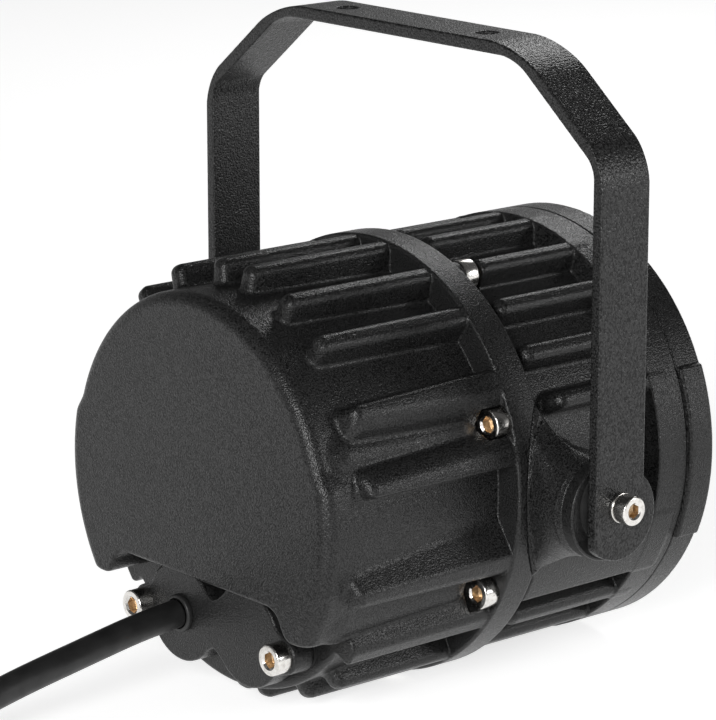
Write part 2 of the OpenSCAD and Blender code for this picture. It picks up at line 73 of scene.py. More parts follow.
def node_box(name):
    """Lowest and highest corner of a CAD node, in millimetres."""
    lo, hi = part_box(name)
    return np.array(lo) / MM, np.array(hi) / MM


# ------------------------------------------------------------------ sizes, from the frame

SCREW_LO, SCREW_HI = node_box("pivot_screws")
PIVOT = np.array([0, (SCREW_LO[1] + SCREW_HI[1]) / 2, (SCREW_LO[2] + SCREW_HI[2]) / 2])


def from_pivot(name):
    lo, hi = node_box(name)
    return lo - PIVOT, hi - PIVOT


YOKE_LO, YOKE_HI = from_pivot("yoke")
REAR_LO, REAR_HI = from_pivot("rear_housing")
FRONT_LO = from_pivot("front_housing")[0]
BEZEL_LO = from_pivot("bezel")[0]
COVER_LO, COVER_HI = from_pivot("gland_cover")
GROMMET_LO, GROMMET_HI = from_pivot("cable_grommet")
SPACER_LO, SPACER_HI = from_pivot("pivot_spacers")
PLUG_HI = node_box("power_plug")[1]

WALL = 4
BODY_R = 61
CAVITY_R = BODY_R - WALL
CREST_R = 70
SEAM_Y = REAR_LO[1]
RING_T = 11.5
RING_R = REAR_HI[0]
RING_Y = SEAM_Y + RING_T
CAP_Y = REAR_HI[1]
FRONT_Y = FRONT_LO[1]
FRONT_RING_T = 12.5
FRONT_RING_R = -BEZEL_LO[2]
FRONT_RING_Y = FRONT_Y + FRONT_RING_T
WEB_Y, WEB_T = -10, 6
BEZEL_Y = BEZEL_LO[1]
COVER_Y, COVER_FACE_Y = COVER_LO[1], COVER_HI[1]
RECESS_Y = COVER_Y - 1
GROMMET_X = (GROMMET_LO[0] + GROMMET_HI[0]) / 2
GROMMET_Z = (GROMMET_LO[2] + GROMMET_HI[2]) / 2
SPACER_R, SPACER_T = 16, 4.7
BOSS_X = SPACER_HI[0] - SPACER_T
BOSS_Y = -0.5
BOSS_Z = (SPACER_LO[2] + SPACER_HI[2]) / 2
CABLE_R = 4.5
SCREW_HOLE_R = 2.6

# ------------------------------------------------------------------ camera

CAMERA_AT = Vector((-0.8148, 0.69855, 0.3739))
CAMERA_AZIMUTH, CAMERA_ELEVATION = math.radians(229.85), math.radians(14.33)
LENS, SENSOR = 175, 36


def make_camera():
    """A long lens behind the lamp, up and to one side, as in the photograph."""
    back = Vector((
        math.sin(CAMERA_AZIMUTH) * math.cos(CAMERA_ELEVATION),
        -math.cos(CAMERA_AZIMUTH) * math.cos(CAMERA_ELEVATION),
        math.sin(CAMERA_ELEVATION),
    ))
    camera = bpy.data.objects.new("camera", bpy.data.cameras.new("camera"))
    camera.data.lens, camera.data.sensor_width = LENS, SENSOR
    camera.data.clip_start, camera.data.clip_end = 0.05, 30
    camera.location = CAMERA_AT
    camera.rotation_mode = "QUATERNION"
    camera.rotation_quaternion = (-back).to_track_quat("-Z", "Y")
    bpy.context.collection.objects.link(camera)
    bpy.context.scene.camera = camera


make_camera()

# ------------------------------------------------------------------ materials


class Paint:
    """A node material that is filled in step by step."""

    def __init__(self, name, color, roughness, metallic=0.0, **sockets):
        self.material = bpy.data.materials.new(name)
        self.material.use_nodes = True
        self.tree = self.material.node_tree
        self.shader = self.tree.nodes["Principled BSDF"]
        self.shader.inputs["Base Color"].default_value = (*color, 1)
        self.shader.inputs["Roughness"].default_value = roughness
        self.shader.inputs["Metallic"].default_value = metallic
        for socket, value in sockets.items():
            self.shader.inputs[socket.replace("_", " ")].default_value = value
        self.place = self.tree.nodes.new("ShaderNodeTexCoord").outputs["Object"]
        self.bump = None

    def node(self, kind, **values):
        made = self.tree.nodes.new(kind)
        for key, value in values.items():
            if hasattr(made, key):
                setattr(made, key, value)
            else:
                made.inputs[key.replace("_", " ")].default_value = value
        return made

    def noise(self, size, detail=2.0, stretch=None):
        """Noise whose features are about size millimetres across."""
        made = self.node("ShaderNodeTexNoise", Scale=1 / (size * MM), Detail=detail)
        place = self.place
        if stretch:
            mapping = self.node("ShaderNodeMapping", Scale=stretch)
            self.tree.links.new(place, mapping.inputs["Vector"])
            place = mapping.outputs["Vector"]
        self.tree.links.new(place, made.inputs["Vector"])
        return made.outputs["Fac"]

    def between(self, factor, low, high, start=0.0, end=1.0):
        """A value that runs from low to high as factor runs from start to end."""
        made = self.node("ShaderNodeMapRange", From_Min=start, From_Max=end, To_Min=low, To_Max=high)
        self.tree.links.new(factor, made.inputs["Value"])
        return made.outputs["Result"]

    def raised(self, height, depth):
        """Adds bump, with depth in millimetres."""
        made = self.node("ShaderNodeBump", Strength=1.0, Distance=depth * MM)
        self.tree.links.new(height, made.inputs["Height"])
        if self.bump:
            self.tree.links.new(self.bump, made.inputs["Normal"])
        self.bump = made.outputs["Normal"]
        self.tree.links.new(self.bump, self.shader.inputs["Normal"])
        return self

    def varied(self, socket, factor, low, high, start=0.0, end=1.0):
        self.tree.links.new(self.between(factor, low, high, start, end), self.shader.inputs[socket])
        return self

    def tinted(self, factor, low, high, start=0.3, end=0.7):
        """Mixes the base colour from low to high."""
        mix = self.node("ShaderNodeMix", data_type="RGBA")
        self.tree.links.new(self.between(factor, 0, 1, start, end), mix.inputs["Factor"])
        mix.inputs["A"].default_value = (*low, 1)
        mix.inputs["B"].default_value = (*high, 1)
        self.tree.links.new(mix.outputs["Result"], self.shader.inputs["Base Color"])
        return self


def powder_coat(name, level, grain_size, depth):
    """Fine-textured satin black powder coat over a casting or a bar."""
    paint = Paint(name, (level,) * 3, 0.32, Specular_IOR_Level=0.28)
    grain = paint.noise(grain_size, 0)
    paint.tinted(grain, (level * 0.1,) * 3, (level * 3,) * 3)
    paint.varied("Roughness", grain, 0.38, 0.26, 0.3, 0.7)
    paint.raised(paint.noise(grain_size * 3, 1), depth * 0.4)
    paint.raised(grain, depth)
    return paint.material


def metal(name, low, high, roughness, depth=0.008, stretch=None):
    paint = Paint(name, high, roughness, 1.0)
    paint.tinted(paint.noise(1.5, 3, stretch), low, high)
    paint.varied("Roughness", paint.noise(0.8, 3, stretch), roughness * 0.75, roughness * 1.4, 0.3, 0.7)
    paint.raised(paint.noise(0.3, 2, stretch), depth)
    return paint.material


def rubber(name, level, depth=0.02, roughness=0.5):
    paint = Paint(name, (level,) * 3, roughness, Specular_IOR_Level=0.45)
    paint.tinted(paint.noise(7, 2), (level * 0.75,) * 3, (level * 1.4,) * 3)
    paint.varied("Roughness", paint.noise(3, 3), roughness * 0.85, roughness * 1.25, 0.3, 0.7)
    paint.raised(paint.noise(0.7, 3), depth)
    return paint.material


def plastic(name, color, roughness=0.4):
    paint = Paint(name, color, roughness, Specular_IOR_Level=0.5)
    paint.tinted(paint.noise(5, 2), tuple(0.93 * c for c in color), color)
    paint.varied("Roughness", paint.noise(2, 3), roughness * 0.85, roughness * 1.2, 0.3, 0.7)
    paint.raised(paint.noise(0.4, 2), 0.01)
    return paint.material


def glass():
    paint = Paint("clear_glass", (0.97, 0.985, 0.98), 0.02, Transmission_Weight=1.0, IOR=1.5)
    paint.varied("Roughness", paint.noise(30, 3), 0.01, 0.05, 0.3, 0.7)
    return paint.material


def phosphor():
    paint = Paint("led_phosphor", (0.9, 0.72, 0.12), 0.5, Subsurface_Weight=0.2)
    paint.tinted(paint.noise(1.2, 3), (0.82, 0.6, 0.06), (0.95, 0.78, 0.2))
    paint.raised(paint.noise(0.5, 2), 0.02)
    return paint.material


def woven_strap():
    """Hook-and-loop strap: short matted fibres over a fine weave."""
    paint = Paint("hook_loop", (0.03, 0.03, 0.032), 0.85, Sheen_Weight=0.4)
    paint.tinted(paint.noise(0.5, 4), (0.012,) * 3, (0.07,) * 3)
    paint.raised(paint.noise(0.35, 4, (1, 1, 2.5)), 0.25)
    return paint.material


COAT = powder_coat("cast_coat", 0.009, 0.45, 0.15)
YOKE_COAT = powder_coat("yoke_coat", 0.01, 0.6, 0.2)
TURNED = powder_coat("turned_coat", 0.009, 0.4, 0.03)
STEEL = metal("stainless", (0.62, 0.6, 0.57), (0.86, 0.84, 0.81), 0.2)
# A darker, warmer steel for the faces inside each hex socket: painted shade in the socket
SOCKET_SHADE_STEEL = metal("socket_painted_shade", (0.4, 0.28, 0.16), (0.85, 0.7, 0.52), 0.35)
ZINC = metal("zinc_steel", (0.5, 0.5, 0.48), (0.72, 0.71, 0.68), 0.35, 0.02)
ALUMINIUM = metal("bare_aluminium", (0.66, 0.67, 0.68), (0.86, 0.87, 0.88), 0.38, 0.02, (1, 1, 8))
REFLECTOR = metal("reflector_metal", (0.86, 0.87, 0.88), (0.95, 0.95, 0.95), 0.12, 0.03)
BRASS = metal("nickel_brass", (0.6, 0.56, 0.48), (0.8, 0.77, 0.7), 0.25)
RUBBER = rubber("seal_rubber", 0.014)
CABLE = rubber("cable_rubber", 0.012, 0.03, 0.42)
PLUG_RUBBER = rubber("plug_rubber", 0.016, 0.05, 0.5)
GLASS = glass()
PHOSPHOR = phosphor()
WHITE_CASE = plastic("white_case", (0.75, 0.75, 0.74))
IVORY = plastic("ivory_block", (0.72, 0.66, 0.5))
RED_SILICONE = plastic("red_silicone", (0.4, 0.02, 0.02), 0.5)
BROWN_SHEATH = plastic("brown_sheath", (0.12, 0.05, 0.02), 0.45)
STRAP = woven_strap()

# ------------------------------------------------------------------ meshes


def add(name, points, faces, materials, body="lamp", replaces=(), slot=None, smooth=40, chosen=None):
    """A piece from points in millimetres, in the row frame."""
    mesh = bpy.data.meshes.new(name)
    mesh.from_pydata([], [], [])
    mesh.from_pydata((np.asarray(points, float) * MM).tolist(), [], [list(map(int, f)) for f in faces])
    for material in materials:
        mesh.materials.append(material)
    if chosen is not None:
        mesh.polygons.foreach_set("material_index", np.asarray(chosen, np.int32))
    mesh.validate()
    piece = bpy.data.objects.new(name, mesh)
    bpy.context.collection.objects.link(piece)
    mesh.polygons.foreach_set("use_smooth", [True] * len(mesh.polygons))
    if smooth < 180:
        mesh.set_sharp_from_angle(angle=math.radians(smooth))
    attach(piece, body)
    if replaces:
        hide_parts(*replaces)
    return piece


# ------------------------------------------------------------------ distance fields


def cut(a, b, r=0.6):
    """What is inside both solids, with the edge between them rounded."""
    return np.minimum(np.maximum(a, b), -r) + np.hypot(np.maximum(a + r, 0), np.maximum(b + r, 0))


def join(a, b, r=1.0):
    """Both solids, with a fillet between them."""
    return np.maximum(np.minimum(a, b), r) - np.hypot(np.maximum(r - a, 0), np.maximum(r - b, 0))


def carve(a, b, r=0.6):
    """The first solid without the second."""
    return cut(a, -b, r)


def slab(v, low, high):
    return np.abs(v - (low + high) / 2) - (high - low) / 2


def drum(x, y, z, r, low, high, edge=0.6):
    return cut(np.hypot(x, z) - r, slab(y, low, high), edge)


def polar(x, z, angle):
    """How far out and how far round a point is from the middle line of a fin at an angle."""
    c, s = math.cos(math.radians(angle)), math.sin(math.radians(angle))
    return x * c + z * s, z * c - x * s


def hole_at(x, y, z, angle, ring_r, r, low, high):
    """A straight hole along the lamp, on a circle round its axis."""
    out, around = polar(x, z, angle)
    return cut(np.hypot(out - ring_r, around) - r, slab(y, low, high), 0.01)


def field_mesh(name, field, low, high, voxel, **kind):
    """The surface of a distance field's solid; the box from low to high holds its right half.

    Each point of the voxel mesh moves onto the true surface, and takes its normal from the field.
    """
    xs, ys, zs = (
        np.arange(start, stop + voxel, voxel, dtype=np.float32)
        for start, stop in ((0, high[0] + 2), (low[1] - 2, high[1] + 2), (low[2] - 2, high[2] + 2))
    )
    xs = np.concatenate([-xs[:0:-1], xs])
    values = field(xs[:, None, None], ys[None, :, None], zs[None, None, :]).astype(np.float32)
    grid = openvdb.FloatGrid(background=3 * voxel)
    grid.copyFromArray(np.ascontiguousarray(np.clip(values, -3 * voxel, 3 * voxel)))
    grid.gridClass = openvdb.GridClass.LEVEL_SET
    points, triangles, quads = grid.convertToPolygons(isovalue=0.0, adaptivity=0.0)
    points = points.astype(np.float64) * voxel + [xs[0], ys[0], zs[0]]
    for _ in range(2):
        height, slope = level_and_slope(points, field)
        steep = np.maximum((slope**2).sum(axis=1), 0.3)
        move = -(height / steep)[:, None] * slope
        far = np.linalg.norm(move, axis=1)
        points += move * np.minimum(1, 0.6 * voxel / np.maximum(far, 1e-9))[:, None]
    faces = [f[::-1] for f in triangles.tolist()] + [f[::-1] for f in quads.tolist()]
    piece = add(name, points + PIVOT, faces, smooth=180, **kind)
    slope = level_and_slope(points, field)[1]
    slope /= np.maximum(np.linalg.norm(slope, axis=1), 1e-9)[:, None]
    piece.data.normals_split_custom_set_from_vertices(slope.tolist())
    return piece


def level_and_slope(points, field):
    """The value and the slope of a field at some points."""
    x, y, z = points.T
    step = 0.05
    slope = np.stack([
        field(x + step, y, z) - field(x - step, y, z),
        field(x, y + step, z) - field(x, y - step, z),
        field(x, y, z + step) - field(x, y, z - step),
    ], axis=1) / (2 * step)
    return field(x, y, z), slope


def on_both_sides(field):
    """The field of a solid whose left side mirrors its right side."""
    return lambda x, y, z: field(np.abs(x), y, z)


# ------------------------------------------------------------------ castings


def fin(x, y, z, angle, width, crest, low, high, rake=0.1, lean=(0.07, 0.07), widen=(0, 0), edges=(2.4, 2.4)):
    """A cooling fin: a crest with rounded edges, flanks that lean out, and a raked rear end.

    The rake is how far the foot of the end lies behind its crest, for each millimetre of height;
    lean does the same for the flanks. Towards the joint the crest widens by widen on each side,
    and edges are the radii of the crest's upper and lower edge.
    """
    out, around = polar(x, z, angle)
    height = np.clip(crest - out, -2, 14)
    along = np.clip((high - y) / (high - low), 0, 1)
    upper = around - width / 2 - lean[0] * height - widen[0] * along
    lower = -around - width / 2 - lean[1] * height - widen[1] * along
    bar = cut(cut(upper, np.hypot(x, z) - crest, edges[0]), lower, edges[1])
    tail = (y - high - rake * height) / math.hypot(1, rake)
    return cut(np.maximum(bar, crest - 20 - out), np.maximum(tail, low - y), 2.8)


REAR_FINS = [
    dict(angle=84, width=6, high=73.5), dict(angle=66.5, width=6, high=75),
    dict(angle=50.5, width=6.2, high=76, widen=(0.3, 0.3)),
    dict(angle=30, width=5.6, high=75, rake=0.3, lean=(0.08, 0.6), widen=(2.4, 2.6), edges=(1.8, 3.5)),
    dict(angle=11.5, width=5.6, high=76, rake=0.2, lean=(0.5, 0.1), widen=(3, 0.2), edges=(4, 1)),
    dict(angle=-17.5, width=5.4, high=79, rake=0.3, lean=(0.8, 0.4), widen=(0.8, 1.2), edges=(0.8, 3)),
    dict(angle=-37.5, width=6.6, high=79.5, rake=0.3, lean=(0.5, 0.1), widen=(0.6, 0), edges=(2, 1.5)),
    dict(angle=-57.5, width=6, high=64, rake=0.3), dict(angle=-71, width=6, high=64, rake=0.3),
    dict(angle=-85.5, width=6, high=67, rake=0.3),
]
FRONT_FINS = [
    dict(angle=84, width=6, high=2.5), dict(angle=67, width=6, high=-2),
    dict(angle=51.5, width=6, high=2.5), dict(angle=36.5, width=5.8, high=2.5),
    dict(angle=22.5, width=5.4, high=-4.5), dict(angle=-44, width=6.4, high=3),
    dict(angle=-58, width=6, high=3), dict(angle=-71, width=6, high=3),
    dict(angle=-85.5, width=6, high=3),
]
SCREW_CIRCLE_R = 65
REAR_SCREWS = [20.5, -29.5, -78]
FRONT_SCREW = 67
SEAT_Y = RING_Y - 0.5
FRONT_SEAT_Y = SEAM_Y - 2.5
SEAT_R = 5.2

RECESS_HALF_W, RECESS_TOP, RECESS_SHOULDER = 42, -27.5, -36.5

# The pad round each pivot: its rear edge bows into the joint ring, past a narrow gap
PAD_REAR_Y, PAD_BOW_R, PAD_HALF_H = 15.5, 51.5, 27.6
PAD_GAP = 0.35


def recess(x, y, z):
    """The space under the rear face: high in the middle, and lower right across."""
    tall = cut(np.abs(x) - RECESS_HALF_W, z - RECESS_TOP, 7)
    return np.maximum(join(tall, z - RECESS_SHOULDER, 5), RECESS_Y - y)


def pivot_pad(y, z, grow=0.0):
    """The pad round a pivot as seen from the side; its front edge bows the other way."""
    bow = np.hypot(y - PAD_REAR_Y + PAD_BOW_R, z) - PAD_BOW_R - grow
    front = 7 - 7.5 * np.clip(1 - (z / PAD_HALF_H) ** 2, 0, 1)
    return np.maximum(np.maximum(bow, np.abs(z) - PAD_HALF_H - grow), front - y - grow)


def rear_field(x, y, z):
    """The rear casting; it swells a little towards its cap, and more below a step on each side."""
    r = np.hypot(x, z)
    step = np.clip((20 - z) / 7, 0, 1)
    swell = 1.2 + 2 * step * step * (3 - 2 * step) + 0.015 * np.clip(12 - z, 0, 50)
    base = BODY_R + swell * np.clip((y - RING_Y) / 58, 0, 1)
    solid = cut(r - base, slab(y, SEAM_Y, CAP_Y), 4.5)
    for angle in REAR_SCREWS[:2]:
        out, around = polar(x, z, angle)
        rib = cut(np.hypot(out - 59, around) - 5.4, slab(y, RING_Y + 9, CAP_Y - 8), 5)
        solid = join(solid, rib, 4)
    for f in REAR_FINS:
        solid = join(solid, fin(x, y, z, crest=CREST_R, low=SEAM_Y + 2, **f), 1.3)
    solid = join(solid, drum(x, y, z, RING_R, SEAM_Y, RING_Y, 1.0), 0.6)
    solid = carve(solid, recess(x, y, z), 1.3)
    solid = carve(solid, pivot_pad(y, z, PAD_GAP) + 100 * (r < 63), 0.4)
    for angle in REAR_SCREWS:
        solid = carve(solid, hole_at(x, y, z, angle, SCREW_CIRCLE_R, SEAT_R, SEAT_Y, SEAT_Y + 8), 0.4)
    solid = np.maximum(solid, -drum(x, y, z, CAVITY_R, SEAM_Y - 3, RECESS_Y - WALL))
    above_recess = np.maximum(drum(x, y, z, CAVITY_R, 20, CAP_Y - WALL), RECESS_TOP + WALL - z)
    return np.maximum(solid, -above_recess)


def front_field(x, y, z):
    """The front casting, with a boss for each pivot that rises from a flared pad."""
    r = np.hypot(x, z)
    angle = np.degrees(np.arctan2(z, np.maximum(x, 1e-6)))
    solid = drum(x, y, z, BODY_R, FRONT_Y, SEAM_Y, 0.3)
    for f in FRONT_FINS:
        solid = join(solid, fin(x, y, z, crest=FRONT_RING_R - 0.1, low=FRONT_Y + 4, rake=0.3, **f), 1.3)
    band = cut(cut(r - 69.3, slab(y, FRONT_Y + 3, SEAM_Y - 1), 1.2), slab(angle, -34, -13.5) * 1.15, 2)
    pad = cut(cut(r - 70.4, pivot_pad(y, z), 2.2), 60.5 - r, 0.4)
    solid = join(solid, band, 2)
    solid = join(solid, drum(x, y, z, FRONT_RING_R, FRONT_Y, FRONT_RING_Y, 0.5), 0.9)
    boss_r = np.hypot(y - BOSS_Y, z - BOSS_Z)
    boss = cut(cut(boss_r - 15.6, x - BOSS_X, 0.8), y - SEAM_Y + 1 - 100 * (x > 71), 1)
    flare_x = BOSS_X - 3.5
    flare = np.maximum(boss_r - 15 - 0.6 * np.maximum(flare_x - x, 0), x - flare_x) * 0.85
    flare = cut(flare, np.maximum(pivot_pad(y, z) + 0.8, y - SEAM_Y + 1 - 100 * (r > 70.5)), 1.5)
    solid = join(join(join(solid, boss, 2), flare, 3), pad, 2)
    screw_lug = hole_at(x, y, z, FRONT_SCREW, SCREW_CIRCLE_R, 4.6, SEAM_Y - 3, SEAM_Y - 0.5)
    solid = join(solid, screw_lug, 1)
    seat = hole_at(x, y, z, FRONT_SCREW, SCREW_CIRCLE_R, SEAT_R, FRONT_SEAT_Y - 8, FRONT_SEAT_Y)
    solid = carve(solid, seat, 0.4)
    ahead, behind = drum(x, y, z, CAVITY_R, BEZEL_Y, WEB_Y), drum(x, y, z, CAVITY_R, WEB_Y + WEB_T, SEAM_Y + 3)
    return np.maximum(solid, -np.minimum(ahead, behind))


BEZEL_SCREW_CIRCLE_R = 61.5


def bezel_field(x, y, z):
    """The lens ring, with a raised grip arc on each side and pockets for its screws."""
    r = np.hypot(x, z)
    solid = drum(x, y, z, FRONT_RING_R, BEZEL_Y, FRONT_Y, 0.5)
    grip = cut(cut(r - 70.3, slab(y, BEZEL_Y, FRONT_Y - 0.3), 1.1), np.abs(z) - 28, 0.5)
    solid = join(solid, grip, 0.4)
    lens_edge = (r - 54) - np.maximum(-58.5 - y, 0) * 0.55
    solid = carve(solid, lens_edge, 0.5)
    solid = np.maximum(solid, -drum(x, y, z, 57.2, BEZEL_Y + 3.2, FRONT_Y + 3))
    for angle in (90, 30, -30, -90):
        pocket = hole_at(x, y, z, angle, BEZEL_SCREW_CIRCLE_R, 3.2, BEZEL_Y - 3, BEZEL_Y + 2)
        solid = carve(solid, pocket, 0.3)
    return solid


LOBE_X, LOBE_Z, LOBE_R = 16.4, -43.5, 16
COVER_SCREW_X, COVER_SCREW_Z = 34.5, -45


def cover_field(x, y, z):
    """The cable cover: two lobes, an ear for each screw, and a hole for the cable in one lobe."""
    side = np.abs(x)
    lobe = np.hypot(side - LOBE_X, z - LOBE_Z) - LOBE_R
    screw = np.hypot(side - COVER_SCREW_X, z - COVER_SCREW_Z)
    bridge = np.maximum(slab(side, -1, LOBE_X), slab(z, -51.5, -35.5))
    outline = join(join(lobe, screw - 5.8, 5), bridge, 3)
    solid = cut(outline, slab(y, COVER_Y, COVER_FACE_Y), 0.9)
    cable_hole = np.hypot(x - GROMMET_X, z - GROMMET_Z) - 5.25
    return carve(carve(solid, cable_hole, 0.3), screw - SCREW_HOLE_R, 0.3)


BAR_T, BAR_W = 4, 20
BEND_LOW_Z, BEND_HIGH_X = 106.5, 57
EYE_R, EYE_Z = 14.3, -2.6
HANG_HOLE_X, HANG_HOLE_R = 33, 3.5


def yoke_outline(x, z, inset):
    """The bent bar seen along the lamp, filled in, with its faces moved in by an inset."""
    half_w, top = YOKE_HI[0] - inset, YOKE_HI[2] - inset
    low, high = Vector((YOKE_HI[0], BEND_LOW_Z)), Vector((BEND_HIGH_X, YOKE_HI[2]))
    along = (high - low).normalized()
    slope = (x - low.x) * along.y - (z - low.y) * along.x + inset
    return cut(cut(x - half_w, slope, 7 - inset), z - top, 8 - inset)


def yoke_field(x, y, z):
    """The yoke: a flat bar with an eye round each pivot and two hanging holes in its top."""
    bar = np.maximum(yoke_outline(x, z, 0), -yoke_outline(x, z, BAR_T))
    strip = np.maximum(np.abs(y) - BAR_W / 2, EYE_Z - z)
    eye = np.hypot(y + 0.5, z - EYE_Z) - EYE_R
    shape = cut(np.minimum(strip, eye), y - BAR_W / 2, 0.8)
    solid = cut(bar, shape, 0.7)
    solid = carve(solid, np.hypot(x - HANG_HOLE_X, y) - HANG_HOLE_R + 200 * (z < 90), 0.4)
    return carve(solid, np.hypot(y, z) - 2.55, 0.3)


# The castings' voxel size
FINE = 0.6
field_mesh(
    "rear_casting", on_both_sides(rear_field), [0, SEAM_Y, -RING_R], [RING_R, CAP_Y, RING_R], FINE,
    materials=[COAT], replaces=["rear_housing"], slot="cast_black",
)
field_mesh(
    "front_casting", on_both_sides(front_field), [0, FRONT_Y, -RING_R], [BOSS_X, PAD_REAR_Y, RING_R], FINE,
    materials=[COAT], replaces=["front_housing"], slot="cast_black",
)
field_mesh(
    "front_bezel", on_both_sides(bezel_field), [0, BEZEL_Y, -70], [71, FRONT_Y, 70], FINE,
    materials=[COAT], replaces=["bezel"], slot="cast_black",
)
field_mesh(
    "cable_cover", cover_field, [0, COVER_Y, -61], [42, COVER_FACE_Y, -26], FINE / 1.5,
    materials=[COAT], replaces=["gland_cover"], slot="cast_black",
)
field_mesh(
    "bent_yoke", on_both_sides(yoke_field), [0, YOKE_LO[1], YOKE_LO[2]], YOKE_HI, FINE,
    materials=[YOKE_COAT], body="yoke", replaces=["yoke"], slot="yoke_black",
)

# ------------------------------------------------------------------ turned pieces


def corner(r, h, size, start, end=None, steps=4):
    """Points of a quarter round whose centre is at a radius and a height; angles from outwards."""
    end = start + 90 if end is None else end
    turn = [math.radians(start + (end - start) * i / steps) for i in range(steps + 1)]
    return [(r + size * math.cos(a), h + size * math.sin(a)) for a in turn]


def hexagon(apothem):
    """The radius of a hexagon at an angle, for use in place of a profile's radius."""
    return lambda angle: apothem / np.cos((angle + math.pi / 6) % (math.pi / 3) - math.pi / 6)


def lathe(profile, steps=48, ring=False):
    """Points and faces of a profile turned round Z; a ring's profile closes on itself."""
    angles = np.arange(steps) * 2 * math.pi / steps
    rows = []
    for r, h in profile:
        radius = r(angles) if callable(r) else np.full(steps, float(r))
        rows.append(np.stack([radius * np.cos(angles), radius * np.sin(angles), np.full(steps, h)], axis=1))
    points = np.concatenate(rows)
    faces = []
    for row in range(len(rows) if ring else len(rows) - 1):
        low, high = row * steps, (row + 1) % len(rows) * steps
        for i in range(steps):
            j = (i + 1) % steps
            faces.append((low + i, low + j, high + j, high + i))
    if not ring:
        ends = (np.array([0, 0, profile[0][1]]), np.array([0, 0, profile[-1][1]]))
        top = (len(rows) - 1) * steps
        points = np.concatenate([points, ends])
        faces += [(len(points) - 2, (i + 1) % steps, i) for i in range(steps)]
        faces += [(len(points) - 1, top + i, top + (i + 1) % steps) for i in range(steps)]
    return points, faces


def placed(shape, place, toward, turn=0.0):
    """A shape with its +Z along a direction and its origin at a place."""
    points, faces = shape
    rotation = Vector(toward).to_track_quat("Z", "Y").to_matrix() @ Matrix.Rotation(turn, 3, "Z")
    return points @ np.array(rotation).T + np.asarray(place, float), faces


def merged(shapes):
    """One shape from several, and for each face the number of the shape it came from."""
    points, faces, source, base = [], [], [], 0
    for number, (own_points, own_faces) in enumerate(shapes):
        points.append(own_points)
        faces += [tuple(i + base for i in face) for face in own_faces]
        source += [number] * len(own_faces)
        base += len(own_points)
    return np.concatenate(points), faces, source


SCREW_STEPS = 48


def cap_screw(thread_r, head_r, head_h, length, apothem, pitch=0.8):
    """A socket-head cap screw whose head rises from z = 0, with its thread below."""
    thread = []
    for i in range(int((length - 1) / pitch)):
        bottom = -length + 0.8 + i * pitch
        thread += [(thread_r - 0.4, bottom), (thread_r, bottom + pitch / 2)]
    profile = [(thread_r * 0.6, -length), (thread_r - 0.4, -length + 0.4), *thread, (thread_r, 0)]
    profile += corner(head_r - 0.25, 0.25, 0.25, -90, 0, 2)
    profile += corner(head_r - 0.55, head_h - 0.55, 0.55, 0, 90, 5)
    profile += [(apothem * 1.35, head_h), (apothem * 1.28, head_h - 0.12), (hexagon(apothem), head_h - 0.5)]
    profile += [(hexagon(apothem), head_h * 0.42), (apothem * 0.3, head_h * 0.3)]
    return lathe(profile, SCREW_STEPS)


def socket_faces(shape, apothem, head_h):
    """Which faces of a cap screw lie in its socket."""
    points, faces = shape
    middle = np.array([points[list(face)].mean(axis=0) for face in faces])
    inside = (np.hypot(middle[:, 0], middle[:, 1]) < apothem * 1.12) & (middle[:, 2] > 0.1 * head_h)
    return (inside & (middle[:, 2] < head_h - 0.05)).astype(int)


def screws(name, node, slot, seats, toward, **size):
    """A node's cap screws; each seat is a point under the head, from the pivot."""
    shape = cap_screw(**size)
    sockets = socket_faces(shape, size["apothem"], size["head_h"])
    turned = [
        placed(shape, np.array(seat) + PIVOT, direction, 0.4 * number)
        for number, (seat, direction) in enumerate(zip(seats, toward))
    ]
    points, faces, _ = merged(turned)
    # The socket faces take the darker steel, which paints shade inside each socket
    return add(
        name, points, faces, [STEEL, SOCKET_SHADE_STEEL], replaces=[node], slot=slot, smooth=35,
        chosen=np.tile(sockets, len(seats)),
    )


def on_circle(radius, angle, y):
    """A place on a circle round the lamp axis, with the angle measured up from the +X side."""
    return [radius * math.cos(math.radians(angle)), y, radius * math.sin(math.radians(angle))]


M5 = dict(thread_r=2.5, head_r=4.9, head_h=5.4, apothem=2.3)
PIVOT_M5 = dict(thread_r=2.5, head_r=4.5, head_h=5, apothem=2)
M3 = dict(thread_r=1.5, head_r=2.75, apothem=1.25, pitch=0.5)
REAR, FRONT = (0, 1, 0), (0, -1, 0)
both = [(a, 180 - a) for a in REAR_SCREWS]
rear_seats = [on_circle(SCREW_CIRCLE_R, a, SEAT_Y) for pair in both for a in pair]
front_seats = [on_circle(SCREW_CIRCLE_R, a, FRONT_SEAT_Y) for a in (FRONT_SCREW, 180 - FRONT_SCREW)]
screws(
    "joint_screws", "flange_screws", "stainless", rear_seats + front_seats,
    [REAR] * len(rear_seats) + [FRONT] * 2, length=14, **M5,
)
screws(
    "cover_screws", "gland_cover_screws", "stainless",
    [(side * COVER_SCREW_X, COVER_FACE_Y, COVER_SCREW_Z) for side in (-1, 1)], [REAR] * 2,
    length=12, **M5,
)
screws(
    "yoke_screws", "pivot_screws", "stainless",
    [(side * (YOKE_HI[0] + 1.25), 0, 0) for side in (-1, 1)], [(-1, 0, 0), (1, 0, 0)], length=22, **PIVOT_M5,
)
screws(
    "ring_screws", "bezel_screws", "stainless",
    [on_circle(BEZEL_SCREW_CIRCLE_R, 30 + 60 * i, BEZEL_Y + 2) for i in range(6)], [FRONT] * 6,
    length=15, head_h=1.6, **M3,
)
screws(
    "plate_screws", "led_plate_screws", "zinc_steel",
    [on_circle(36, 45 + 90 * i, -14) for i in range(4)], [FRONT] * 4, length=8, head_h=2, **M3,
)


def washer(inner, outer, thickness, edge=0.25):
    """A flat washer with rounded edges."""
    return lathe([
        *corner(outer - edge, edge, edge, -90, 0), *corner(outer - edge, thickness - edge, edge, 0, 90),
        *corner(inner + edge, thickness - edge, edge, 90, 180), *corner(inner + edge, edge, edge, 180, 270),
    ], 64, ring=True)


